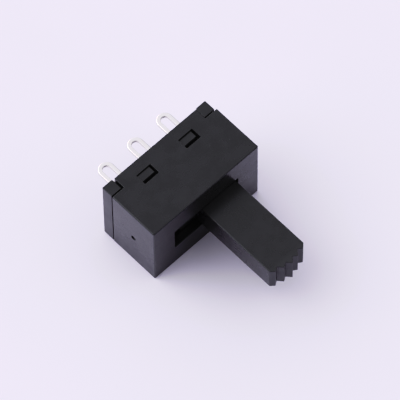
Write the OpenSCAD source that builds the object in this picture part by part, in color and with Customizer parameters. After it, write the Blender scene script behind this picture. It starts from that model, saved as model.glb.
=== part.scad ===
// Miniature slide switch: a two-part snap-together case, a sliding handle
// with a ridged end, and three solder lugs.
//
// The switch lies on one long side. X runs along the slide, the handle
// points to -Y, the lugs point to +Y and Z is up. The origin is the centre
// of the long side that the switch lies on. All sizes are in millimetres.

/* [Housing] */
// Length of the housing along the slide
housing_l = 14.3; // [13:0.1:20]
// Depth of the housing from its front face to its open rear
housing_d = 7.3; // [6.8:0.1:10]
// Height of the housing as it lies
housing_h = 9.4; // [8.2:0.1:14]
// Thickness of the front wall, which holds the slot
front_wall = 0.9; // [0.6:0.05:1.2]
// Thickness of the two long walls, which hold the latch windows
long_wall = 0.85; // [0.6:0.05:1.1]
// Thickness of the two end walls
end_wall = 1.0; // [0.7:0.05:1.3]
// Radius of the two upright corners beside the front face
corner_r = 0.16; // [0.05:0.01:0.6]
// Radius of the two long edges beside the front face
front_r = 0.2; // [0.05:0.01:0.4]
// Radius of the four edges that run from front to rear
edge_r = 0.14; // [0.05:0.01:0.3]

/* [Handle] */
// Width of the handle along the slide
handle_w = 4.7; // [3.6:0.1:5.6]
// Thickness of the handle
handle_t = 3.1; // [2.2:0.1:3.8]
// Length of the handle from the front face to its middle tooth
handle_l = 10.5; // [6:0.1:14]
// Radius of the handle's long edges
handle_r = 0.1; // [0.05:0.01:0.4]
// Distance that the handle slides between its two positions
travel = 3.35; // [2.6:0.05:4.05]

/* [Finger teeth] */
// Number of teeth across the handle's end
teeth = 5; // [3:2:5]
// Distance from one tooth to the next
tooth_pitch = 0.94; // [0.7:0.01:1.1]
// Depth of the grooves between the teeth
tooth_depth = 0.42; // [0.2:0.02:0.6]
// How far each tooth stands back from its neighbour nearer the middle
tooth_fall = 0.25; // [0:0.05:0.4]

/* [Base] */
// Thickness of the base's plate
base_t = 1.5; // [1.2:0.1:1.8]
// Thickness of the two skirts, which carry the hooks
skirt_t = 0.9; // [0.7:0.05:1.2]
// How far the skirts reach forward from the plate
skirt_d = 1.2; // [1.1:0.05:1.4]
// Length of each ear along the slide
ear_l = 1.35; // [1.2:0.05:1.7]
// Depth of the ears from the housing's rear
ear_d = 1.25; // [1.1:0.05:1.45]
// How far the ears' ends stand in from the housing's ends, with the base centred
ear_inset = 0.12; // [0.05:0.01:0.3]
// How far the ears stand out behind the housing
ear_proud = 0.1; // [0:0.02:0.3]
// Bevel on the rear inner corner of each ear, beside the long walls
ear_bevel = 0.12; // [0.08:0.01:0.4]
// Free play between the base and the housing, at each end of the slide
seat_play = 0.11; // [0.04:0.01:0.2]
// How far the base has settled to the left within that play
seat_shift = 0.09; // [0:0.01:0.1]

/* [Latches] */
// Distance of the latch windows from the middle of the switch
window_x = 2.85; // [2.2:0.05:3.4]
// Width of each window along the slide
window_w = 1.85; // [1.2:0.05:2.1]
// Length of each window from front to rear
window_d = 1.25; // [1.1:0.05:1.5]
// Distance of the windows from the housing's rear
window_back = 1.31; // [1.1:0.01:1.5]
// Length of a hook's flat top, ahead of its catching face
hook_land = 0.82; // [0.2:0.01:0.9]
// Length of the sloped lead-in ahead of the flat top
hook_ramp = 0.33; // [0.2:0.01:0.6]
// How far a hook's top stays below the housing's outer face
hook_low = 0.17; // [0.05:0.01:0.4]

/* [Terminals] */
// Distance from one lug to the next
lug_pitch = 4.0; // [3.2:0.1:4.8]
// Width of each lug
lug_w = 1.8; // [1.4:0.1:2.2]
// Thickness of the strip that the lugs are stamped from
lug_t = 0.4; // [0.3:0.05:0.5]
// Length of each lug behind the base
lug_l = 3.65; // [3:0.05:5]
// Height of the lugs' mid-plane above the switch's mid-plane
lug_up = 0.75; // [0.5:0.05:1.2]
// Inside radius of the bend between a lug and its contact pad
bend_r = 0.2; // [0.1:0.05:0.3]
// Width of the oval wire hole
wire_w = 0.9; // [0.8:0.05:1.1]
// Length of the oval wire hole
wire_l = 2.0; // [1.2:0.05:2.4]
// Metal left between the wire hole and the lug's round end
wire_end = 0.45; // [0.3:0.05:0.7]
// How far the contact pads stand out of the base's inner face
pad_proud = 0.1; // [0:0.05:0.2]

/* [Moving contact] */
// Length of the contact strip beyond its two bumps, at each end
contact_over = 0.6; // [0.5:0.05:0.8]
// Height of the contact strip
contact_h = 1.6; // [1.2:0.1:2]
// Thickness of the contact strip
contact_t = 0.25; // [0.2:0.01:0.3]
// How far the strip's ends stand behind its middle
contact_rise = 0.35; // [0.2:0.05:0.5]
// Half length of the strip's flat middle
contact_mid = 1.1; // [1:0.05:1.2]
// Height of the embossed contact bumps
bump_h = 0.2; // [0.1:0.02:0.24]
// Radius of the bumps where they meet the strip
bump_r = 0.45; // [0.35:0.05:0.5]

/* [Detent and springs] */
// Diameter of the detent ball
ball_d = 1.2; // [1:0.1:1.4]
// Distance of the ball from the middle of the slider
ball_x = 3.25; // [3.1:0.05:3.5]
// Depth of the two detent notches in the long wall
notch_d = 0.22; // [0.1:0.02:0.3]
// Outside diameter of the detent spring
ball_spring_d = 1.1; // [0.9:0.05:1.15]
// Wire diameter of the detent spring
ball_spring_wire = 0.16; // [0.12:0.02:0.2]
// Depth of the bore that holds the ball and its spring
ball_bore_depth = 3.1; // [2.6:0.1:3.4]
// Outside diameter of the contact spring
contact_spring_d = 1.5; // [1.2:0.1:1.6]
// Wire diameter of the contact spring
contact_spring_wire = 0.2; // [0.16:0.02:0.24]

/* [Clearances] */
// Gap at the slot's ends when the handle is at its stop
slot_end_gap = 0.3; // [0.1:0.05:0.4]
// Gap above and below the handle in the slot
slot_side_gap = 0.1; // [0.05:0.01:0.2]
// Running gap between the slider and the housing's walls
glide = 0.05; // [0.03:0.01:0.1]
// Gap left at the slider's end stops
stop_gap = 0.02; // [0.01:0.01:0.05]
// Gap between fixed pieces that fit into each other
fit_gap = 0.02; // [0.01:0.01:0.05]
// Gap above and below the base's plate, skirts and ears
part_gap = 0.05; // [0.02:0.01:0.1]
// Gap of the parting line that shows in front of the ears
line_gap = 0.13; // [0.02:0.01:0.2]
// Running gap between the moving contact and the pads
contact_gap = 0.05; // [0.03:0.01:0.1]
// Gap around the contact strip and the springs in their pockets
pocket_gap = 0.1; // [0.05:0.01:0.15]

/* [Hidden] */
$fn = 64;

// Reference planes
mid_z = housing_h / 2;
front_y = -housing_d / 2;
rear_y = housing_d / 2;
rest_x = travel / 2;
over = 1;

// Hollow of the housing
hollow_l = housing_l - 2 * end_wall;
hollow_h = housing_h - 2 * long_wall;
hollow_front = front_y + front_wall;

// Slot in the front wall
slot_l = handle_w + travel + 2 * slot_end_gap;
slot_h = handle_t + 2 * slot_side_gap;
slot_r = handle_r;

// Ears and the notches that they sit in
ear_out = housing_l / 2 - ear_inset;
ear_in = ear_out - ear_l;
ear_r = 0.08;
notch_x = ear_in - seat_play;
notch_front = rear_y - ear_d - line_gap;

// Base
plate_front = rear_y - base_t;
skirt_front = plate_front - skirt_d;
skirt_top = housing_h - long_wall - part_gap;
lug_relief = 0.3;
lug_relief_d = 0.2;

// Hooks: the catching face stands against the rear edge of its window
catch_y = rear_y - window_back - fit_gap;
hook_w = window_w - 2 * seat_play;
hook_top = housing_h - hook_low;

// Terminals: the pad is centred on the mid-plane and ends at the lug's top
lug_top = mid_z + lug_up + lug_t / 2;
pad_bottom = 2 * mid_z - lug_top;
pad_y = plate_front - pad_proud;
lug_end_y = rear_y + lug_l;

// Moving contact, counted forward from the pads
bump_y = pad_y - contact_gap;
contact_end_y = bump_y - bump_h - contact_t;
contact_mid_y = contact_end_y - contact_rise;
contact_half = lug_pitch / 2 + contact_over;
bump_sphere_r = (bump_r * bump_r + bump_h * bump_h) / (2 * bump_h);
contact_knee = lug_pitch / 2 - bump_r;

// Carriage of the slider, and the carrier that holds the moving contact
carriage_l = hollow_l - travel - 2 * stop_gap;
carriage_front = hollow_front + glide;
carriage_d = 2.2;
carriage_rear = carriage_front + carriage_d;
carriage_h = hollow_h - 2 * glide;
carrier_wall = 0.5;
carrier_rear = pad_y - 0.3;
pocket_front = contact_mid_y - 0.25;
pocket_half_l = contact_half + pocket_gap;
pocket_h = contact_h + 2 * pocket_gap;
spring_floor = carriage_front + 0.8;

// Detent: the ball rests under the wall's inner face, on one of two notches
wall_in = housing_h - long_wall;
ball_y = carriage_front + carriage_d / 2;
ball_z = wall_in - stop_gap - ball_d / 2;
ball_bore_d = ball_d + 2 * glide;
bore_floor = mid_z + carriage_h / 2 - ball_bore_depth;
notch_r = 0.7;
ball_ring_r = (ball_spring_d - ball_spring_wire) / 2;
ball_reach = (ball_d + ball_spring_wire) / 2 + fit_gap;
ball_spring_top = ball_z - sqrt(ball_reach * ball_reach - ball_ring_r * ball_ring_r)
    + ball_spring_wire / 2;

// Gate mark on the left end wall
gate_r = 0.3;
gate_d = 0.16;
gate_back = 4.3;
gate_stub_r = 0.1;
gate_stub_h = 0.08;

black = [0.16, 0.155, 0.17];
base_black = [0.13, 0.13, 0.14];
silver = [0.82, 0.81, 0.79];
bronze = [0.78, 0.62, 0.40];
steel = [0.66, 0.67, 0.69];

// Rectangle w by h on the origin with all four corners rounded
module round_rect(w, h, r) {
    square([w - 2 * r, h], center = true);
    square([w, h - 2 * r], center = true);
    for (sx = [-1, 1], sy = [-1, 1])
        translate([sx * (w / 2 - r), sy * (h / 2 - r)])
            circle(r = r);
}

// Rectangle d by w on the origin with the two corners at its low end rounded
module front_round_rect(d, w, r) {
    translate([r / 2, 0])
        square([d - r, w], center = true);
    square([d, w - 2 * r], center = true);
    for (sy = [-1, 1])
        translate([-d / 2 + r, sy * (w / 2 - r)])
            circle(r = r);
}

// Carries a profile drawn in Y and Z along X, centred on the middle
module along_x(length) {
    rotate([90, 0, 90])
        linear_extrude(length, center = true)
            children();
}

// Carries a profile drawn in X and Z from y0 back to y1
module along_y(y0, y1) {
    translate([0, y1, 0])
        rotate([90, 0, 0])
            linear_extrude(y1 - y0)
                children();
}

// Box given by its low and high corners
module box(low, high) {
    translate(low)
        cube(high - low);
}

// The children as drawn, and again mirrored about the switch's mid-plane
module both_long_sides() {
    children();
    translate([0, 0, housing_h])
        mirror([0, 0, 1])
            children();
}

// The children as drawn, and again mirrored end for end
module both_ends() {
    children();
    mirror([1, 0, 0])
        children();
}

// Round wire wound into a coil that stands on z = 0, with closed end turns.
// coil_z gives the height of the wire's middle after t turns.
function coil_z(t, turns, length, wire) =
    let (close = 1.15 * wire, foot = wire / 2 + close)
    t < 1 ? wire / 2 + close * t
    : t > turns - 1 ? length - wire / 2 - close * (turns - t)
    : foot + (t - 1) / (turns - 2) * (length - 2 * foot);

module coil_spring(outer_d, wire, length, turns, steps = 14, sides = 8) {
    ring_r = (outer_d - wire) / 2;
    rings = turns * steps;
    rise = atan2(length / turns, 2 * PI * ring_r);
    points = [
        for (i = [0:rings], j = [0:sides - 1])
            let (t = i / steps, a = 360 * t, b = 360 * j / sides,
                 out = ring_r + wire / 2 * cos(b), up = wire / 2 * sin(b))
            [out * cos(a) + up * sin(rise) * sin(a),
             out * sin(a) - up * sin(rise) * cos(a),
             coil_z(t, turns, length, wire) + up * cos(rise)]
    ];
    walls = [
        for (i = [0:rings - 1], j = [0:sides - 1])
            let (k = (j + 1) % sides, p = i * sides, q = p + sides)
            each [[p + j, p + k, q + k], [p + j, q + k, q + j]]
    ];
    start_cap = [[for (j = [sides - 1:-1:0]) j]];
    end_cap = [[for (j = [0:sides - 1]) rings * sides + j]];
    polyhedron(points, concat(walls, start_cap, end_cap));
}

// Outside of the housing: a block with rounded edges everywhere but at its rear
module housing_block() {
    intersection() {
        translate([0, 0, -over])
            linear_extrude(housing_h + 2 * over)
                rotate(90)
                    front_round_rect(housing_d, housing_l, corner_r);
        along_y(front_y - over, rear_y + over)
            translate([0, mid_z])
                round_rect(housing_l, housing_h, edge_r);
        translate([0, 0, mid_z])
            along_x(housing_l + 2 * over)
                front_round_rect(housing_d, housing_h, front_r);
    }
}

// Places of the four latch windows
module at_windows() {
    both_ends()
        both_long_sides()
            translate([window_x, 0, 0])
                children();
}

// Moulded case, open at the rear, with the slot, windows and ear notches
module housing() {
    color(black)
    difference() {
        housing_block();
        box([-hollow_l / 2, hollow_front, long_wall],
            [hollow_l / 2, rear_y + over, housing_h - long_wall]);
        along_y(front_y - over, hollow_front + over)
            translate([0, mid_z])
                round_rect(slot_l, slot_h, slot_r);
        both_ends()
            box([notch_x, notch_front, -over],
                [housing_l, rear_y + over, housing_h + over]);
        at_windows()
            box([-window_w / 2, rear_y - window_back - window_d, wall_in - over],
                [window_w / 2, rear_y - window_back, housing_h + over]);
        for (x = [rest_x, -rest_x])
            translate([x - ball_x, ball_y, wall_in - notch_r + notch_d])
                rotate([90, 0, 0])
                    cylinder(r = notch_r, h = ball_d, center = true);
        gate_mark();
    }
}

// Shallow round recess that the moulding gate leaves, with its broken stub
module gate_mark() {
    translate([-housing_l / 2 - over, rear_y - gate_back, mid_z])
        rotate([0, 90, 0])
            difference() {
                cylinder(r = gate_r, h = over + gate_d);
                translate([0, 0, over + gate_d - gate_stub_h])
                    cylinder(r = gate_stub_r, h = 2 * gate_stub_h);
            }
}

// Hook on the upper skirt: catching face to the rear, lead-in to the front
module hook() {
    along_x(hook_w)
        polygon([
            [catch_y, skirt_top - skirt_t / 2],
            [catch_y, hook_top],
            [catch_y - hook_land, hook_top],
            [catch_y - hook_land - hook_ramp, skirt_top - fit_gap],
            [catch_y - hook_land - hook_ramp, skirt_top - skirt_t / 2]
        ]);
}

// Right-hand corner ear, which fills the housing's rear corner from side to side
module ear() {
    translate([(ear_in + ear_out) / 2, rear_y + ear_proud, 0])
        difference() {
            intersection() {
                linear_extrude(housing_h)
                    rotate(-90)
                        translate([(ear_d + ear_proud) / 2, 0])
                            front_round_rect(ear_d + ear_proud, ear_l, ear_r);
                along_y(-ear_d - ear_proud, 0)
                    translate([0, mid_z])
                        round_rect(ear_l, housing_h - 2 * part_gap, ear_r);
            }
            translate([-ear_l / 2, 0, -over])
                linear_extrude(housing_h + 2 * over)
                    rotate(45)
                        square(ear_bevel * sqrt(2), center = true);
        }
}

// Side view of a terminal, grown by gap: pad, bend and lug
module terminal_profile(gap) {
    outer = lug_t + bend_r + gap;
    bend_y = pad_y + lug_t + bend_r;
    bend_z = lug_top - lug_t - bend_r;
    translate([pad_y - gap, pad_bottom - gap])
        square([lug_t + 2 * gap, bend_z - pad_bottom + gap]);
    translate([bend_y, lug_top - lug_t - gap])
        square([lug_end_y - bend_y, lug_t + 2 * gap]);
    translate([bend_y, bend_z])
        intersection() {
            difference() {
                circle(r = outer);
                circle(r = bend_r - gap);
            }
            translate([-outer, 0])
                square(outer);
        }
}

// Room for one terminal in the base: its slot, and the recess for its pad
module terminal_seat() {
    along_x(lug_w + 2 * fit_gap)
        terminal_profile(fit_gap);
    box([-lug_w / 2 - fit_gap, plate_front - over, pad_bottom - fit_gap],
        [lug_w / 2 + fit_gap, pad_y + lug_t / 2, lug_top + fit_gap]);
    box([-lug_w / 2 - lug_relief, rear_y - lug_relief_d, lug_top - lug_t - lug_relief],
        [lug_w / 2 + lug_relief, rear_y + over, lug_top + lug_relief]);
}

// Moulded base: plate, skirts with hooks, and the four-square corner ears
module base() {
    color(base_black)
    translate([-seat_shift, 0, 0])
    difference() {
        union() {
            box([-hollow_l / 2 + seat_play, plate_front, long_wall + part_gap],
                [hollow_l / 2 - seat_play, rear_y, skirt_top]);
            both_long_sides()
                box([-notch_x, skirt_front, skirt_top - skirt_t],
                    [notch_x, plate_front + fit_gap, skirt_top]);
            at_windows()
                hook();
            both_ends()
                ear();
        }
        for (i = [-1:1])
            translate([i * lug_pitch, 0, 0])
                terminal_seat();
    }
}

// Stamped terminal: a contact pad bent from the root of a solder lug
module terminal(i) {
    wire_y = lug_end_y - wire_end - wire_w / 2;
    color(silver)
    translate([i * lug_pitch - seat_shift, 0, 0])
        difference() {
            intersection() {
                along_x(lug_w)
                    terminal_profile(0);
                linear_extrude(housing_h)
                    union() {
                        translate([-lug_w / 2, pad_y - over])
                            square([lug_w, lug_end_y - lug_w / 2 - pad_y + over]);
                        translate([0, lug_end_y - lug_w / 2])
                            circle(r = lug_w / 2);
                    }
            }
            for (y = [wire_y, wire_y - wire_l + wire_w])
                translate([0, y, lug_top - lug_t - over])
                    cylinder(d = wire_w, h = lug_t + 2 * over);
            box([-wire_w / 2, wire_y - wire_l + wire_w, lug_top - lug_t - over],
                [wire_w / 2, wire_y, lug_top + over]);
        }
}

module terminal_left() {
    terminal(-1);
}

module terminal_common() {
    terminal(0);
}

module terminal_right() {
    terminal(1);
}

// Outline of the handle seen from above, with its row of teeth at the low end.
// The teeth stand on a shallow roof that falls away from the middle one.
module handle_outline(back_y) {
    half = (teeth - 1) / 2;
    slope = 2 * tooth_depth / tooth_pitch;
    shoulder = (handle_w / 2 - half * tooth_pitch) * slope;
    side_y = tip_y(half) + shoulder;
    polygon(concat(
        [[-handle_w / 2, back_y], [-handle_w / 2, side_y]],
        [for (i = [-half:half])
            each i < half
                ? [[i * tooth_pitch, tip_y(i)], [(i + 0.5) * tooth_pitch, groove_y(i)]]
                : [[i * tooth_pitch, tip_y(i)]]],
        [[handle_w / 2, side_y], [handle_w / 2, back_y]]
    ));
}

function tip_y(i) = front_y - handle_l + tooth_fall * abs(i);
function groove_y(i) = (tip_y(i) + tip_y(i + 1)) / 2 + tooth_depth;

// Handle with rounded long edges and vertical teeth
module handle() {
    intersection() {
        linear_extrude(housing_h)
            handle_outline(carriage_front + fit_gap);
        along_y(front_y - handle_l - over, hollow_front + over)
            translate([0, mid_z])
                round_rect(handle_w, handle_t, handle_r);
    }
}

// Slider: handle, carriage and contact carrier in one moulding
module slider() {
    color(black)
    translate([rest_x, 0, 0])
        difference() {
            union() {
                handle();
                box([-carriage_l / 2, carriage_front, mid_z - carriage_h / 2],
                    [carriage_l / 2, carriage_rear, mid_z + carriage_h / 2]);
                box([-pocket_half_l - carrier_wall, carriage_rear - fit_gap,
                     mid_z - pocket_h / 2 - carrier_wall],
                    [pocket_half_l + carrier_wall, carrier_rear,
                     mid_z + pocket_h / 2 + carrier_wall]);
            }
            box([-pocket_half_l, pocket_front, mid_z - pocket_h / 2],
                [pocket_half_l, carrier_rear + over, mid_z + pocket_h / 2]);
            translate([0, spring_floor, mid_z])
                rotate([-90, 0, 0])
                    cylinder(d = contact_spring_d + 2 * pocket_gap,
                             h = contact_mid_y - spring_floor);
            translate([-ball_x, ball_y, bore_floor])
                cylinder(d = ball_bore_d, h = ball_bore_depth + over);
        }
}

// Formed contact strip with an embossed bump at each end
module moving_contact() {
    slope = atan2(contact_rise, contact_knee - contact_mid);
    shift = contact_t * tan(slope / 2);
    front = [[contact_mid, contact_mid_y], [contact_knee, contact_end_y],
             [contact_half, contact_end_y]];
    back = [[contact_half, contact_end_y + contact_t],
            [contact_knee - shift, contact_end_y + contact_t],
            [contact_mid - shift, contact_mid_y + contact_t]];
    half = concat(front, back);
    color(bronze)
    translate([rest_x, 0, mid_z])
        difference() {
            union() {
                linear_extrude(contact_h, center = true)
                    polygon(concat(half, [for (i = [len(half) - 1:-1:0]) [-half[i].x, half[i].y]]));
                both_ends()
                    intersection() {
                        translate([lug_pitch / 2, bump_y - bump_sphere_r, 0])
                            sphere(r = bump_sphere_r);
                        box([0, contact_end_y + contact_t / 2, -contact_h / 2],
                            [contact_half, bump_y + over, contact_h / 2]);
                    }
            }
            both_ends()
                translate([lug_pitch / 2, bump_y - bump_sphere_r, 0])
                    sphere(r = bump_sphere_r - contact_t);
        }
}

// Spring that presses the moving contact on the pads
module contact_spring() {
    color(steel)
    translate([rest_x, spring_floor + fit_gap, mid_z])
        rotate([-90, 0, 0])
            coil_spring(contact_spring_d, contact_spring_wire,
                        contact_mid_y - spring_floor - 2 * fit_gap, turns = 5);
}

module detent_ball() {
    color(steel)
    translate([rest_x - ball_x, ball_y, ball_z])
        sphere(d = ball_d);
}

// Spring that presses the ball on the long wall
module detent_spring() {
    color(steel)
    translate([rest_x - ball_x, ball_y, bore_floor + fit_gap])
        coil_spring(ball_spring_d, ball_spring_wire,
                    ball_spring_top - bore_floor - fit_gap, turns = 6);
}

housing();
base();
terminal_left();
terminal_common();
terminal_right();
slider();
moving_contact();
contact_spring();
detent_ball();
detent_spring();
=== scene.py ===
import math

import bmesh
import bpy
import numpy as np
from mathutils import Matrix, Vector


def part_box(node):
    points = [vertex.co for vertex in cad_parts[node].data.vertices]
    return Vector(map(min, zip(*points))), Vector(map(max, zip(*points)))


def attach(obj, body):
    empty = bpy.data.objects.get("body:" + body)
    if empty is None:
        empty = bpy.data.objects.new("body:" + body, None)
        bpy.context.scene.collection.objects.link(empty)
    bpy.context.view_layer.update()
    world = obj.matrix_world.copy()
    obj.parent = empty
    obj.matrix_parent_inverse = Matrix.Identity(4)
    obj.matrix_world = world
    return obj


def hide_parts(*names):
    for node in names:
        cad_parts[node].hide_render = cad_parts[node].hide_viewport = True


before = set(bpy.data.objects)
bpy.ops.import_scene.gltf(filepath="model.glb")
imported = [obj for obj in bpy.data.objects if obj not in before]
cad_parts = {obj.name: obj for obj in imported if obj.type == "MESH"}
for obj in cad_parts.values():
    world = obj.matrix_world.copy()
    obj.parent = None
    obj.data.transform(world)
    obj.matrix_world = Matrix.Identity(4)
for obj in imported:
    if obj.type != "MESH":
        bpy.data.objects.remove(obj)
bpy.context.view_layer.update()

MM = 0.001

# Camera: above the handle's left side, with a long lens far from the switch.
# The last two values say how far right and up of the part's origin it aims.
CAMERA_AZIMUTH = -43.16
CAMERA_ELEVATION = 62.30
CAMERA_ROLL = 0.82
CAMERA_LENS = 495.0
CAMERA_SENSOR = 36.0
CAMERA_DISTANCE = 550 * MM
CAMERA_AIM_RIGHT = 1.84 * MM
CAMERA_AIM_UP = 1.135 * MM

# Colours, as linear red, green and blue
FLOOR_LAVENDER = (0.820, 0.788, 0.942)
HOUSING_BLACK = (0.0052, 0.0049, 0.0062)
BASE_BLACK = (0.0048, 0.0046, 0.0056)
SLIDER_BLACK = (0.0047, 0.0044, 0.0055)
DUST_GREY = (0.03, 0.029, 0.032)
GLOSS_TINT = (0.91, 0.98, 1.02)
SILVER_PLATE = (0.745, 0.735, 0.745)
SILVER_TARNISH = (0.68, 0.62, 0.50)
CUT_BRASS = (0.76, 0.73, 0.69)
# The next colour is painted shade: the lugs' rounded edges that lean towards +X are
# darkened to it, as if they mirrored a dark surround.
PAINTED_EDGE_SHADE = (0.20, 0.19, 0.21)
SPRING_BRONZE = (0.74, 0.52, 0.33)
BRONZE_STAIN = (0.45, 0.27, 0.15)
DRAWN_STEEL = (0.56, 0.565, 0.58)
STEEL_OIL = (0.34, 0.31, 0.27)
BALL_STEEL = (0.66, 0.67, 0.69)

# Roughness of the plastics: as moulded, where scuffed, and where rubbed even.
# END_WALLS_SMOOTHER is taken off it on the housing's end walls.
HOUSING_MOULDED, HOUSING_SCUFFED, HOUSING_RUBBED = 0.24, 0.34, 0.31
END_WALLS_SMOOTHER = 0.035
BASE_MOULDED, BASE_SCUFFED = 0.30, 0.34
HANDLE_MOULDED, HANDLE_SCUFFED = 0.26, 0.38

# What the marks on the plastics do to roughness, to colour and to relief
MOTTLE_ROUGHER, SMEAR_ROUGHER, DUST_ROUGHER = 0.05, 0.05, 0.3
MOTTLE_LIGHTER = 1.5
GRAIN_RELIEF, GRAIN_DEPTH = 0.35, 0.004 * MM

# What the marks on the metals do
STAIN_STRENGTH = 0.35
LINES_ROUGHER, STAIN_ROUGHER = 0.16, 0.08
LINES_RELIEF, LINES_DEPTH = 0.3, 0.002 * MM

# Edges that turn by more than SHARP_EDGE are rounded. Those of a wire hole, which
# the punch left sharp, are rounded by only a share of what the lug's others are.
SHARP_EDGE = math.radians(30)
HOLE_EDGE_SHARE = 0.3

FLOOR_SIZE = 4.0

# Light: a white tent that glows more where soft boxes stand behind it.
# Glow: direction from +X towards +Y in degrees, elevation, strength.
TENT_WHITE = (1.03, 0.965, 1.0)
GLOW_SHARPNESS = 6.0
GLOWS = [
    (45, 10, 1.24),
    (90, 10, 2.26),
    (135, 38, 3.24),
    (315, 38, 1.10),
    (11, 65, 0.75),
]

# Contrast of a studio camera: scene brightness and the brightness it gives
CAMERA_RESPONSE = [
    (0.0, 0.0009), (0.0052, 0.0040), (0.0144, 0.0075), (0.0252, 0.0144),
    (0.0395, 0.0296), (0.0908, 0.0908), (0.1714, 0.2051), (0.3050, 0.4287),
    (0.5149, 0.6514), (0.6445, 0.7400), (0.7529, 0.7930), (0.8870, 0.8460),
    (1.0, 0.9350),
]
# What the camera does to red and to blue, after that
RED_RESPONSE = [
    (0.0, 0.0), (0.038, 0.038), (0.0976, 0.094), (0.3095, 0.2948),
    (0.5906, 0.5749), (0.7454, 0.7379), (0.7913, 0.7913), (0.8469, 0.8591),
    (1.0, 1.0),
]
BLUE_RESPONSE = [
    (0.0, 0.0), (0.045, 0.045), (0.1, 0.1029), (0.43, 0.4385), (0.65, 0.6907),
    (0.74, 0.8053), (0.793, 0.8688), (0.846, 0.9227), (0.935, 0.9594), (1.0, 1.0),
]


# ---------------------------------------------------------------- scene

def make_camera():
    """Puts the camera on its line of sight, turned a little about that line."""
    azimuth, elevation, roll = map(
        math.radians, (CAMERA_AZIMUTH, CAMERA_ELEVATION, CAMERA_ROLL))
    back = Vector((math.sin(azimuth) * math.cos(elevation),
                   -math.cos(azimuth) * math.cos(elevation),
                   math.sin(elevation)))
    level = Vector((math.cos(azimuth), math.sin(azimuth), 0))
    right = level * math.cos(roll) - back.cross(level) * math.sin(roll)
    up = back.cross(right)
    data = bpy.data.cameras.new("studio_camera")
    data.lens = CAMERA_LENS
    data.sensor_width = CAMERA_SENSOR
    data.clip_start = 0.01
    data.clip_end = 10.0
    camera = bpy.data.objects.new("studio_camera", data)
    place = Matrix((right, up, back)).transposed().to_4x4()
    place.translation = (right * CAMERA_AIM_RIGHT + up * CAMERA_AIM_UP
                         + back * CAMERA_DISTANCE)
    camera.matrix_world = place
    bpy.context.scene.collection.objects.link(camera)
    bpy.context.scene.camera = camera


def make_tent():
    """The tent's glow in a direction is the sum over its soft boxes of
    strength * max(0, cosine of the angle to the box) ^ sharpness."""
    world = bpy.data.worlds.new("white_tent")
    world.use_nodes = True
    tree = world.node_tree
    heading = tree.nodes.new("ShaderNodeTexCoord").outputs["Object"]
    total = 0.0
    for direction, elevation, strength in GLOWS:
        turn, rise = math.radians(direction), math.radians(elevation)
        towards = add(tree, "ShaderNodeVectorMath", {"operation": "DOT_PRODUCT"})
        feed(tree, towards.inputs[0], heading)
        feed(tree, towards.inputs[1], (math.cos(rise) * math.cos(turn),
                                       math.cos(rise) * math.sin(turn),
                                       math.sin(rise)))
        facing = maths(tree, "MAXIMUM", towards.outputs["Value"], 0.0)
        lobe = maths(tree, "POWER", facing, GLOW_SHARPNESS)
        total = maths(tree, "MULTIPLY_ADD", lobe, strength, total)
    backdrop = tree.nodes["Background"]
    backdrop.inputs["Color"].default_value = (*TENT_WHITE, 1)
    feed(tree, backdrop.inputs["Strength"], total)
    bpy.context.scene.world = world


def set_camera_response():
    """Draws the camera's curves, for all colours, red and blue, straight between
    their points."""
    view = bpy.context.scene.view_settings
    view.view_transform = "Standard"
    view.use_curve_mapping = True
    red, _, blue, combined = view.curve_mapping.curves
    for curve, response in ((combined, CAMERA_RESPONSE), (red, RED_RESPONSE),
                            (blue, BLUE_RESPONSE)):
        (curve.points[0].location, *inner, curve.points[-1].location) = response
        for place in inner:
            curve.points.new(*place)
        for point in curve.points:
            point.handle_type = "VECTOR"
    view.curve_mapping.update()


# ---------------------------------------------------------------- nodes

def add(tree, kind, settings=(), **inputs):
    """A node of that kind; settings are its own, inputs are by socket name."""
    made = tree.nodes.new(kind)
    for key, value in dict(settings).items():
        setattr(made, key, value)
    for key, value in inputs.items():
        feed(tree, made.inputs[key.replace("_", " ")], value)
    return made


def feed(tree, socket, value):
    """Links a socket to another, or sets it to a constant."""
    if isinstance(value, bpy.types.NodeSocket):
        tree.links.new(value, socket)
    else:
        socket.default_value = value


def maths(tree, operation, *values, clamp=False):
    """A Math node's result."""
    made = add(tree, "ShaderNodeMath", {"operation": operation, "use_clamp": clamp})
    for socket, value in zip(made.inputs, values):
        feed(tree, socket, value)
    return made.outputs["Value"]


def ramp(tree, value, low, high, out_low=0.0, out_high=1.0):
    """The value carried smoothly from low..high to out_low..out_high."""
    made = add(tree, "ShaderNodeMapRange", {"interpolation_type": "SMOOTHSTEP"},
               Value=value, From_Min=low, From_Max=high,
               To_Min=out_low, To_Max=out_high)
    return made.outputs["Result"]


def blend_colour(tree, share, first, second):
    """The mix of two colours, by a share from 0, the first, to 1, the second."""
    made = add(tree, "ShaderNodeMix", {"data_type": "RGBA"})
    feed(tree, made.inputs["Factor"], share)
    for socket, value in ((made.inputs[6], first), (made.inputs[7], second)):
        whole = value if isinstance(value, bpy.types.NodeSocket) else (*value, 1)
        feed(tree, socket, whole)
    return made.outputs[2]


def object_place(tree):
    """The place on the piece, in metres from the part's origin."""
    return tree.nodes.new("ShaderNodeTexCoord").outputs["Object"]


def new_group(name, inputs, outputs):
    """An empty shader node group with named sockets, and its two end nodes."""
    group = bpy.data.node_groups.new(name, "ShaderNodeTree")
    for label, kind in inputs:
        group.interface.new_socket(name=label, in_out="INPUT", socket_type=kind)
    for label, kind in outputs:
        group.interface.new_socket(name=label, in_out="OUTPUT", socket_type=kind)
    return (group, group.nodes.new("NodeGroupInput").outputs,
            group.nodes.new("NodeGroupOutput").inputs)


VALUE = "NodeSocketFloat"
VECTOR = "NodeSocketVector"


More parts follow.
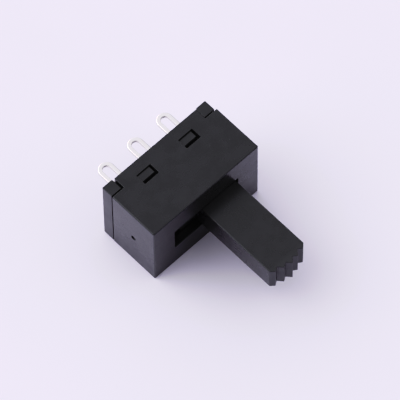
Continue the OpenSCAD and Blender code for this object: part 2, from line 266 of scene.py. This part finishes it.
def mould_grain_group():
    """Fine spark-eroded grain and the slow mottle of a moulded surface.

    Grain is noise at the grain's size, mixed with the rounded pits of a
    Voronoi pattern; Mottle is soft noise forty grains wide.
    """
    group, given, made = new_group(
        "mould_grain", [("Place", VECTOR), ("Grain Size", VALUE)],
        [("Grain", VALUE), ("Mottle", VALUE)])
    pits_for_each_grain, pit_share, mottle_width = 0.7, 0.45, 40.0
    count = maths(group, "DIVIDE", 1.0, given["Grain Size"])
    noise = add(group, "ShaderNodeTexNoise", Vector=given["Place"], Scale=count,
                Detail=2.0, Roughness=0.6)
    pits = add(group, "ShaderNodeTexVoronoi", Vector=given["Place"],
               Scale=maths(group, "MULTIPLY", count, pits_for_each_grain))
    grain = maths(group, "MULTIPLY_ADD", pits.outputs["Distance"], pit_share,
                  noise.outputs["Fac"])
    slow = add(group, "ShaderNodeTexNoise", Vector=given["Place"],
               Scale=maths(group, "DIVIDE", count, mottle_width),
               Detail=3.0, Roughness=0.5)
    feed(group, made["Grain"], grain)
    feed(group, made["Mottle"], ramp(group, slow.outputs["Fac"], 0.3, 0.7))
    return group


def handling_group():
    """What fingers and the air leave: smears, and specks of dust.

    Smear is stretched noise above a threshold. Dust is the middle of a
    Voronoi cell, kept only in cells whose random value is high.
    """
    group, given, made = new_group(
        "handling_marks", [("Place", VECTOR), ("Amount", VALUE)],
        [("Smear", VALUE), ("Dust", VALUE)])
    dusty_from, largest_speck = 0.72, 0.075
    stretched = add(group, "ShaderNodeMapping", Vector=given["Place"],
                    Rotation=(0.0, 0.0, 0.6), Scale=(1.0, 2.6, 1.8))
    smear = add(group, "ShaderNodeTexNoise", Vector=stretched.outputs["Vector"],
                Scale=0.3 / MM, Detail=4.0, Roughness=0.62, Distortion=0.6)
    cells = add(group, "ShaderNodeTexVoronoi", Vector=given["Place"],
                Scale=1.6 / MM, Randomness=1.0)
    chance = add(group, "ShaderNodeSeparateColor", Color=cells.outputs["Color"])
    size = maths(group, "MULTIPLY",
                 ramp(group, chance.outputs["Red"], dusty_from, 1.0), largest_speck)
    speck = maths(group, "LESS_THAN", cells.outputs["Distance"], size)
    smeared = ramp(group, smear.outputs["Fac"], 0.5, 0.74)
    feed(group, made["Smear"], maths(group, "MULTIPLY", smeared, given["Amount"]))
    feed(group, made["Dust"], maths(group, "MULTIPLY", speck, given["Amount"]))
    return group


def rim_cut_and_shade_group():
    """Parts of a stamped lug that lies flat, x and z being its normal's.

    The second output is painted shade on the rounded edges on one side, which lean
    towards +X: 5.6 x z^2 (1 - z^2), held between 0 and 1 and largest on an edge that
    leans by 45 degrees.
    and largest on an edge that leans by 45 degrees.
    """
    group, _, made = new_group("stamped_rim_cut_and_shade", [], [("Cut", VALUE), ("Painted Edge Shade", VALUE)])
    surface = group.nodes.new("ShaderNodeNewGeometry")
    lean = add(group, "ShaderNodeSeparateXYZ", Vector=surface.outputs["Normal"])
    x, z = lean.outputs["X"], lean.outputs["Z"]
    square = maths(group, "MULTIPLY", z, z)
    rest = maths(group, "SUBTRACT", 1.0, square)
    both = maths(group, "MULTIPLY", square, rest)
    edge = maths(group, "MULTIPLY", both, 5.6)
    feed(group, made["Cut"], maths(group, "MULTIPLY_ADD", z, -2.0, 1.3, clamp=True))
    # Painted shade: a mask for the rounded edges that lean towards +X.
    feed(group, made["Painted Edge Shade"], maths(group, "MULTIPLY", edge, x, clamp=True))
    return group


def rolled_group():
    """Marks of rolled or drawn metal: lines along one direction, and stain.

    Lines is noise stretched forty times along Y. Stain is broad noise above a
    threshold.
    """
    group, given, made = new_group(
        "rolled_metal", [("Place", VECTOR), ("Line Width", VALUE)],
        [("Lines", VALUE), ("Stain", VALUE)])
    count = maths(group, "DIVIDE", 1.0, given["Line Width"])
    stretched = add(group, "ShaderNodeMapping", Vector=given["Place"],
                    Scale=(1.0, 1 / 40, 1.0))
    lines = add(group, "ShaderNodeTexNoise", Vector=stretched.outputs["Vector"],
                Scale=count, Detail=3.0, Roughness=0.7)
    stain = add(group, "ShaderNodeTexNoise", Vector=given["Place"],
                Scale=0.9 / MM, Detail=4.0, Roughness=0.6)
    feed(group, made["Lines"], lines.outputs["Fac"])
    feed(group, made["Stain"], ramp(group, stain.outputs["Fac"], 0.45, 0.75))
    return group


GRAIN, HANDLING, RIM_CUT_AND_SHADE, ROLLED = (
    mould_grain_group(), handling_group(), rim_cut_and_shade_group(), rolled_group())


# ---------------------------------------------------------------- finishes

def use(tree, group, **inputs):
    """The outputs of a shared group, placed with its own values."""
    made = add(tree, "ShaderNodeGroup", {"node_tree": group}, **inputs)
    return made.outputs


def new_material(name, offset, **shader):
    """A material with its Principled BSDF, and its pattern's place in metres."""
    made = bpy.data.materials.new(name)
    made.use_nodes = True
    tree = made.node_tree
    surface = tree.nodes["Principled BSDF"]
    for key, value in shader.items():
        surface.inputs[key.replace("_", " ")].default_value = value
    moved = add(tree, "ShaderNodeMapping", Vector=object_place(tree), Location=offset)
    return made, tree, surface, moved.outputs["Vector"]


def on_face(tree, along, face, inwards):
    """1 on a piece's face, and 0 from a tenth of a millimetre inside it."""
    return ramp(tree, along, face + 0.10 * inwards, face + 0.03 * inwards)


def housing_wear(tree, x, y, z):
    """How rough the housing is. Scuffing grows from 6 mm up down to the paper. The
    end walls are smoother. Beside the open slot the front face is rubbed even:
    there the roughness goes from the general one to the rubbed one."""
    low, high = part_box("housing")
    scuffed = ramp(tree, z, 6 * MM, 0.5 * MM, HOUSING_MOULDED, HOUSING_SCUFFED)
    end = on_face(tree, maths(tree, "ABSOLUTE", x), high[0], -MM)
    general = maths(tree, "MULTIPLY_ADD", end, -END_WALLS_SMOOTHER, scuffed)
    beside_slot = ramp(tree, x, 1 * MM, -3 * MM)
    rubbed = maths(tree, "MULTIPLY", on_face(tree, y, low[1], MM), beside_slot)
    change = maths(tree, "SUBTRACT", HOUSING_RUBBED, general)
    return maths(tree, "MULTIPLY_ADD", rubbed, change, general)


def base_wear(tree, x, y, z):
    """How rough the base is: more so towards the paper."""
    return ramp(tree, z, 8 * MM, 3 * MM, BASE_MOULDED, BASE_SCUFFED)


def slider_wear(tree, x, y, z):
    """How rough the handle is: more so on the finger teeth, near its tip."""
    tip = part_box("slider")[0][1]
    return ramp(tree, y, tip + 1.25 * MM, tip + 0.75 * MM, HANDLE_MOULDED, HANDLE_SCUFFED)


def satin_plastic(name, offset, colour, wear, grain_size, handled):
    """Black moulded plastic: grain, mottle, smears and dust, over the roughness
    that wear gives for a place on the piece."""
    made, tree, surface, place = new_material(
        name, offset, IOR=1.5, Metallic=0.0, Specular_Tint=(*GLOSS_TINT, 1))
    grain = use(tree, GRAIN, Place=place, Grain_Size=grain_size)
    marks = use(tree, HANDLING, Place=place, Amount=handled)
    lighter = tuple(MOTTLE_LIGHTER * c for c in colour)
    tone = blend_colour(tree, grain["Mottle"], colour, lighter)
    tone = blend_colour(tree, marks["Dust"], tone, DUST_GREY)
    feed(tree, surface.inputs["Base Color"], tone)
    axes = add(tree, "ShaderNodeSeparateXYZ", Vector=object_place(tree)).outputs
    gloss = wear(tree, *axes)
    gloss = maths(tree, "MULTIPLY_ADD", grain["Mottle"], MOTTLE_ROUGHER, gloss)
    gloss = maths(tree, "MULTIPLY_ADD", marks["Smear"], SMEAR_ROUGHER, gloss)
    gloss = maths(tree, "MULTIPLY_ADD", marks["Dust"], DUST_ROUGHER, gloss, clamp=True)
    feed(tree, surface.inputs["Roughness"], gloss)
    bump = add(tree, "ShaderNodeBump", Strength=GRAIN_RELIEF, Distance=GRAIN_DEPTH,
               Height=grain["Grain"])
    feed(tree, surface.inputs["Normal"], bump.outputs["Normal"])
    return made


def strip_metal(name, offset, colour, stained, roughness, line_width, cut_and_shade_share):
    """Stamped or wound metal: drawn lines and stain. The last argument, from 0 to 1, says
    how much cut metal shows at its edges and how much painted shade darkens the rounded
    edges that lean towards +X."""
    made, tree, surface, place = new_material(name, offset, Metallic=1.0)
    marks = use(tree, ROLLED, Place=place, Line_Width=line_width)
    rim_cut_and_shade = use(tree, RIM_CUT_AND_SHADE)
    stain = maths(tree, "MULTIPLY", marks["Stain"], STAIN_STRENGTH)
    cut = maths(tree, "MULTIPLY", rim_cut_and_shade["Cut"], cut_and_shade_share)
    # Painted shade: the rounded edges that lean towards +X, as if they mirrored a dark
    # surround.
    edge_shade = maths(tree, "MULTIPLY", rim_cut_and_shade["Painted Edge Shade"], cut_and_shade_share)
    tone = blend_colour(tree, stain, colour, stained)
    tone = blend_colour(tree, cut, tone, CUT_BRASS)
    # Painted shade is laid into the colour on those edges.
    tone = blend_colour(tree, edge_shade, tone, PAINTED_EDGE_SHADE)
    feed(tree, surface.inputs["Base Color"], tone)
    gloss = maths(tree, "MULTIPLY_ADD", marks["Lines"], LINES_ROUGHER,
                  roughness - LINES_ROUGHER / 2)
    gloss = maths(tree, "MULTIPLY_ADD", marks["Stain"], STAIN_ROUGHER, gloss, clamp=True)
    feed(tree, surface.inputs["Roughness"], gloss)
    bump = add(tree, "ShaderNodeBump", Strength=LINES_RELIEF, Distance=LINES_DEPTH,
               Height=marks["Lines"])
    feed(tree, surface.inputs["Normal"], bump.outputs["Normal"])
    return made


def floor_paper():
    """Pale matt paper under the switch, with a faint uneven tone."""
    made, tree, surface, place = new_material(
        "lavender_paper", (0, 0, 0), Roughness=0.85, IOR=1.4)
    cloud = add(tree, "ShaderNodeTexNoise", Vector=place, Scale=60.0, Detail=2.0)
    darker = tuple(0.985 * c for c in FLOOR_LAVENDER)
    tone = blend_colour(tree, ramp(tree, cloud.outputs["Fac"], 0.3, 0.7),
                        FLOOR_LAVENDER, darker)
    feed(tree, surface.inputs["Base Color"], tone)
    return made


# ---------------------------------------------------------------- meshes

def new_piece(name, mesh):
    """An object at the origin for a mesh."""
    piece = bpy.data.objects.new(name, mesh)
    bpy.context.scene.collection.objects.link(piece)
    return piece


def merged_copy(node, name):
    """A new piece from a CAD node's mesh, its loose triangles joined and its
    flat faces made whole."""
    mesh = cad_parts[node].data.copy()
    mesh.name = name
    for layer in ("custom_normal", "sharp_edge", "sharp_face"):
        if layer in mesh.attributes:
            mesh.attributes.remove(mesh.attributes[layer])
    work = bmesh.new()
    work.from_mesh(mesh)
    bmesh.ops.remove_doubles(work, verts=work.verts, dist=1e-4 * MM)
    bmesh.ops.dissolve_limit(work, angle_limit=math.radians(0.5),
                             verts=work.verts, edges=work.edges)
    work.to_mesh(mesh)
    work.free()
    mesh.materials.clear()
    mesh.shade_smooth()
    return new_piece(name, mesh)


def weigh_edges(lug, node):
    """Marks how much each edge of a lug is rounded: not at all where it hardly
    turns, a little round the wire hole, which the punch left sharp, and fully
    elsewhere. The hole lies within 0.5 mm of the lug's middle line, from 0.4 to
    2.5 mm short of its end."""
    low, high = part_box(node)
    middle = (low[0] + high[0]) / 2
    work = bmesh.new()
    work.from_mesh(lug.data)
    weight = work.edges.layers.float.new("bevel_weight_edge")
    for edge in work.edges:
        if edge.calc_face_angle(0) > SHARP_EDGE:
            in_hole = all(abs(corner.co.x - middle) < 0.5 * MM
                          and 0.4 * MM < high[1] - corner.co.y < 2.5 * MM
                          for corner in edge.verts)
            edge[weight] = HOLE_EDGE_SHARE if in_hole else 1.0
    work.to_mesh(lug.data)
    work.free()
    return lug


def soften(piece, width, segments, limit="ANGLE"):
    """Rounds every edge that is sharp, or each edge as it is marked."""
    rounding = piece.modifiers.new("edge_rounding", "BEVEL")
    rounding.width = width
    rounding.segments = segments
    rounding.limit_method = limit
    rounding.angle_limit = SHARP_EDGE
    rounding.use_clamp_overlap = False
    rounding.harden_normals = True
    return piece


def array_mesh(name, points, quads, caps):
    """A piece from arrays of corners and of four-sided faces, with end caps. Its
    faces are then turned outwards."""
    mesh = bpy.data.meshes.new(name)
    mesh.from_pydata(points.reshape(-1, 3).tolist(), [],
                     quads.reshape(-1, 4).tolist() + [list(cap) for cap in caps])
    mesh.shade_smooth()
    work = bmesh.new()
    work.from_mesh(mesh)
    bmesh.ops.recalc_face_normals(work, faces=work.faces)
    work.to_mesh(mesh)
    work.free()
    return new_piece(name, mesh)


def ring_quads(rows, columns):
    """Faces between neighbouring rows of a grid whose last column joins its
    first."""
    row = np.arange(rows - 1)[:, None]
    column = np.arange(columns)[None, :]
    after = (column + 1) % columns
    return np.stack([row * columns + column, row * columns + after,
                     (row + 1) * columns + after, (row + 1) * columns + column], -1)


def end_caps(rows, columns):
    """The faces that close a grid of rings at its first and its last row."""
    return range(columns), range((rows - 1) * columns, rows * columns)


def coil(name, node, along, wire, turns):
    """A round wire wound into a spring that fills the CAD node's box.

    The wire's middle goes round a ring of radius half the box's width less
    half the wire. Its height goes evenly from end to end, but for the first
    and last turns, which close up to little more than one wire. A circle of
    the wire's radius is carried along that line, across it and along the axis,
    and shrinks to a rounded end at both tips.
    """
    low, high = (np.array(corner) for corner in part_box(node))
    across = [axis for axis in range(3) if axis != along]
    middle = (low + high) / 2
    ring = (high - low)[across].max() / 2 - wire / 2
    length = (high - low)[along]
    steps, sides, tip = 40, 14, 5
    turn = np.linspace(0, turns, turns * steps + 1)
    close = 1.15 * wire
    foot = wire / 2 + close
    height = np.interp(turn, [0, 1, turns - 1, turns],
                       [wire / 2, foot, length - foot, length - wire / 2])
    swell = np.sin(np.linspace(0, np.pi / 2, tip + 1))[1:]
    radius = np.ones_like(turn)
    radius[:tip] = swell
    radius[-tip:] = swell[::-1]
    angle = 2 * np.pi * turn[:, None]
    section = 2 * np.pi * np.arange(sides)[None, :] / sides
    out = ring + wire / 2 * radius[:, None] * np.cos(section)
    rise = wire / 2 * radius[:, None] * np.sin(section)
    points = np.zeros((len(turn), sides, 3))
    points[..., across[0]] = middle[across[0]] + out * np.cos(angle)
    points[..., across[1]] = middle[across[1]] + out * np.sin(angle)
    points[..., along] = low[along] + height[:, None] + rise
    return array_mesh(name, points, ring_quads(len(turn), sides),
                      end_caps(len(turn), sides))


def ball(name, node):
    """A sphere that fills the CAD node's box: rings of latitude by longitude,
    closed by a small face at each pole."""
    low, high = (np.array(corner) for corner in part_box(node))
    rings, sides, pole = 48, 96, 0.02
    north = np.linspace(pole, np.pi - pole, rings)[:, None]
    east = 2 * np.pi * np.arange(sides)[None, :] / sides
    shape = np.stack([np.sin(north) * np.cos(east), np.sin(north) * np.sin(east),
                      -np.cos(north) * np.ones_like(east)], -1)
    points = (low + high) / 2 + shape * (high - low).max() / 2
    return array_mesh(name, points, ring_quads(rings, sides), end_caps(rings, sides))


def hand_over(piece, node, body, material):
    """The piece stands for a CAD node, rides on its body and takes its finish."""
    piece.data.materials.append(material)
    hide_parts(node)
    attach(piece, body)


# ---------------------------------------------------------------- assembly

make_camera()
make_tent()
set_camera_response()

housing_black = satin_plastic(
    "housing_black", offset=(3.1 * MM, 0, 0), colour=HOUSING_BLACK,
    wear=housing_wear, grain_size=0.035 * MM, handled=0.8)
base_black = satin_plastic(
    "base_black", offset=(0, 7.7 * MM, 0), colour=BASE_BLACK,
    wear=base_wear, grain_size=0.045 * MM, handled=0.5)
slider_black = satin_plastic(
    "slider_black", offset=(5.3 * MM, 0, 0), colour=SLIDER_BLACK,
    wear=slider_wear, grain_size=0.030 * MM, handled=0.7)
# The lugs' finish also carries painted shade on their rounded edges that lean towards +X.
silver_plate = strip_metal(
    "silver_plate", offset=(1.7 * MM, 0, 0), colour=SILVER_PLATE,
    stained=SILVER_TARNISH, roughness=0.42, line_width=0.03 * MM, cut_and_shade_share=1.0)
spring_bronze = strip_metal(
    "spring_bronze", offset=(0, 2.9 * MM, 0), colour=SPRING_BRONZE,
    stained=BRONZE_STAIN, roughness=0.30, line_width=0.03 * MM, cut_and_shade_share=0.0)
drawn_steel = strip_metal(
    "drawn_steel", offset=(0, 0, 1.3 * MM), colour=DRAWN_STEEL,
    stained=STEEL_OIL, roughness=0.26, line_width=0.02 * MM, cut_and_shade_share=0.0)
polished_steel = strip_metal(
    "polished_steel", offset=(0, 0, 0), colour=BALL_STEEL,
    stained=STEEL_OIL, roughness=0.14, line_width=0.05 * MM, cut_and_shade_share=0.0)

housing_shell = soften(merged_copy("housing", "housing_shell"),
                       width=0.045 * MM, segments=3)
hand_over(housing_shell, "housing", "case", housing_black)

base_moulding = soften(merged_copy("base", "base_moulding"),
                       width=0.04 * MM, segments=3)
hand_over(base_moulding, "base", "case", base_black)

slider_moulding = soften(merged_copy("slider", "slider_moulding"),
                         width=0.045 * MM, segments=3)
hand_over(slider_moulding, "slider", "slider", slider_black)

for side in ("left", "common", "right"):
    lug = weigh_edges(merged_copy("terminal_" + side, "lug_" + side), "terminal_" + side)
    soften(lug, width=0.13 * MM, segments=4, limit="WEIGHT")
    hand_over(lug, "terminal_" + side, "case", silver_plate)

contact_strip = soften(merged_copy("moving_contact", "contact_strip"),
                       width=0.03 * MM, segments=2)
hand_over(contact_strip, "moving_contact", "slider", spring_bronze)

hand_over(coil("contact_coil", "contact_spring", along=1, wire=0.2 * MM, turns=5),
          "contact_spring", "slider", drawn_steel)
hand_over(coil("detent_coil", "detent_spring", along=2, wire=0.16 * MM, turns=6),
          "detent_spring", "slider", drawn_steel)
hand_over(ball("bearing_ball", "detent_ball"),
          "detent_ball", "slider", polished_steel)

bpy.ops.mesh.primitive_plane_add(size=FLOOR_SIZE)
floor = bpy.context.object
floor.name = "paper_floor"
floor.data.materials.append(floor_paper())
